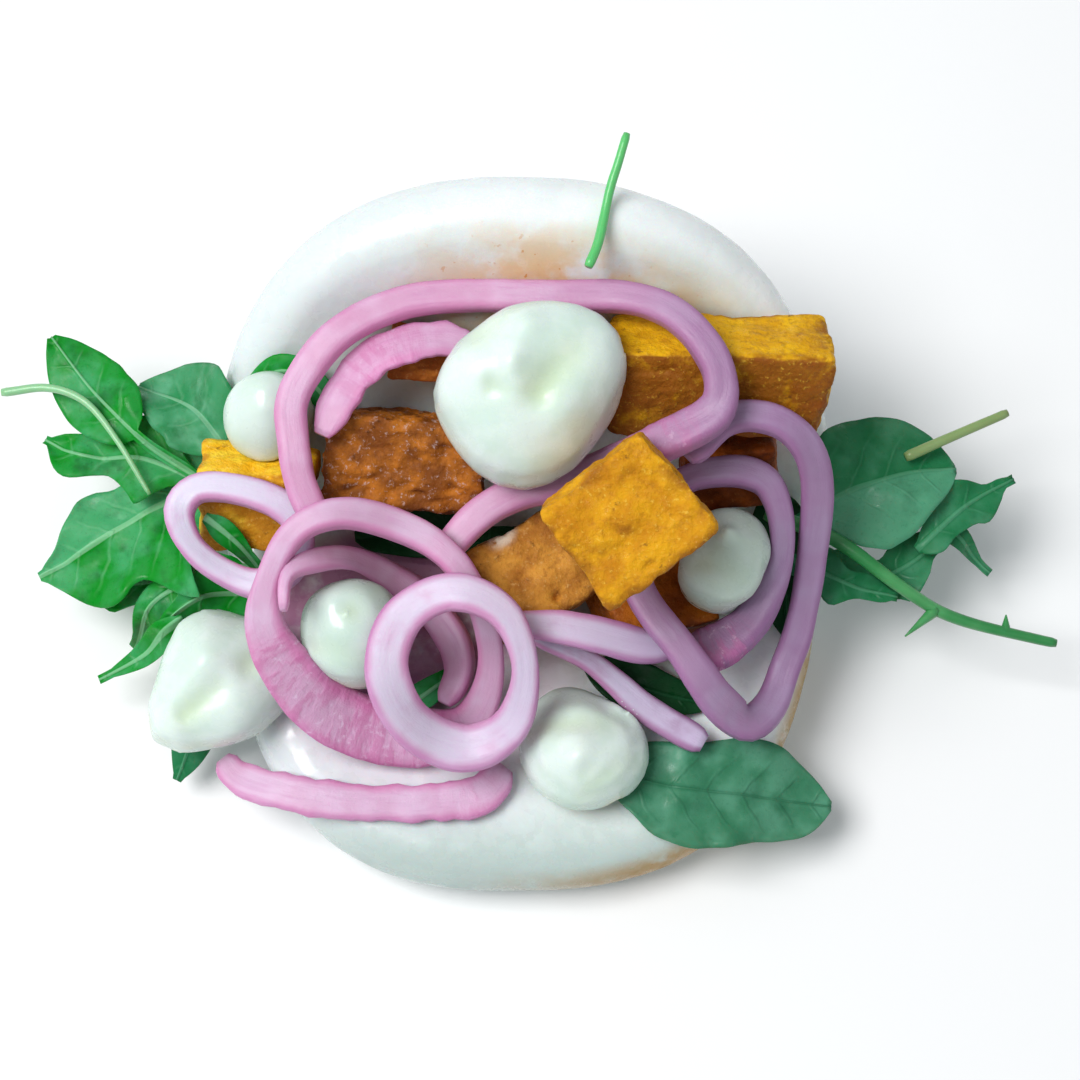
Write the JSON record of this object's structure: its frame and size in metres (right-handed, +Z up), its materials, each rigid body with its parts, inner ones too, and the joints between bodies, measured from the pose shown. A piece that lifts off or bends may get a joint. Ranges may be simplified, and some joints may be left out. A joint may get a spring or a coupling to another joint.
{
  "type": "gua bao",
  "caption": "Steamed bun folded open round fried squash pieces, pickled onion rings, salad leaves and dollops of pale cream.",
  "frame": {"origin": "on the flat underside of the bun, just in front of where it curves up into the fold", "axes": "+X to the right and +Y to the back as seen from the open mouth, where the lid leans back; +Z up"},
  "size_m": [0.1593, 0.1012, 0.0576],
  "materials": {
    "dough": "smooth white steamed dough with a faint sheen, stained orange where the filling rubbed",
    "onion": "wet, slightly see-through pickled onion, pink with paler edges",
    "squash": "fried squash, orange yellow with browned rough edges and an oily sheen",
    "squash_brown": "deep browned fried squash with a blistered crust",
    "cream": "smooth glossy pale cream",
    "leaf": "fresh salad leaf with pale veins",
    "stalk": "pale green leaf stalk"
  },
  "bodies": {
    "root": {"bun": "dough", "cream_back_left": "cream", "cream_front": "cream", "cream_in_ring": "cream", "cream_left": "cream", "cream_right": "cream", "cream_top": "cream", "leaf_back_left": "leaf", "leaf_dark_back": "leaf", "leaf_dark_middle": "leaf", "leaf_front": "leaf", "leaf_front_dark": "leaf", "leaf_front_left": "leaf", "leaf_in_left_ring": "leaf", "leaf_in_ring": "leaf", "leaf_left_back": "leaf", "leaf_left_big": "leaf", "leaf_left_curl": "leaf", "leaf_left_drop": "leaf", "leaf_left_low": "leaf", "leaf_left_small": "leaf", "leaf_left_spike": "leaf", "leaf_left_top": "leaf", "leaf_right_low": "leaf", "leaf_right_round": "leaf", "leaf_right_side": "leaf", "leaf_right_spike": "leaf", "leaf_right_under": "leaf", "onion_big_ring": "onion", "onion_cut_strip": "onion", "onion_double_inner": "onion", "onion_double_outer": "onion", "onion_front_strip": "onion", "onion_inner_ring": "onion", "onion_left_ring": "onion", "onion_middle_strip": "onion", "onion_right_ring": "onion", "onion_small_ring": "onion", "onion_torn_layer": "onion", "squash_back": "squash", "squash_brown": "squash_brown", "squash_left": "squash", "squash_long": "squash", "squash_middle": "squash", "squash_right": "squash_brown", "squash_top": "squash", "squash_under": "squash", "stalk_back": "stalk", "stalk_left": "stalk", "stalk_right": "stalk", "stalk_right_thin": "stalk"}
  },
  "joints": []
}
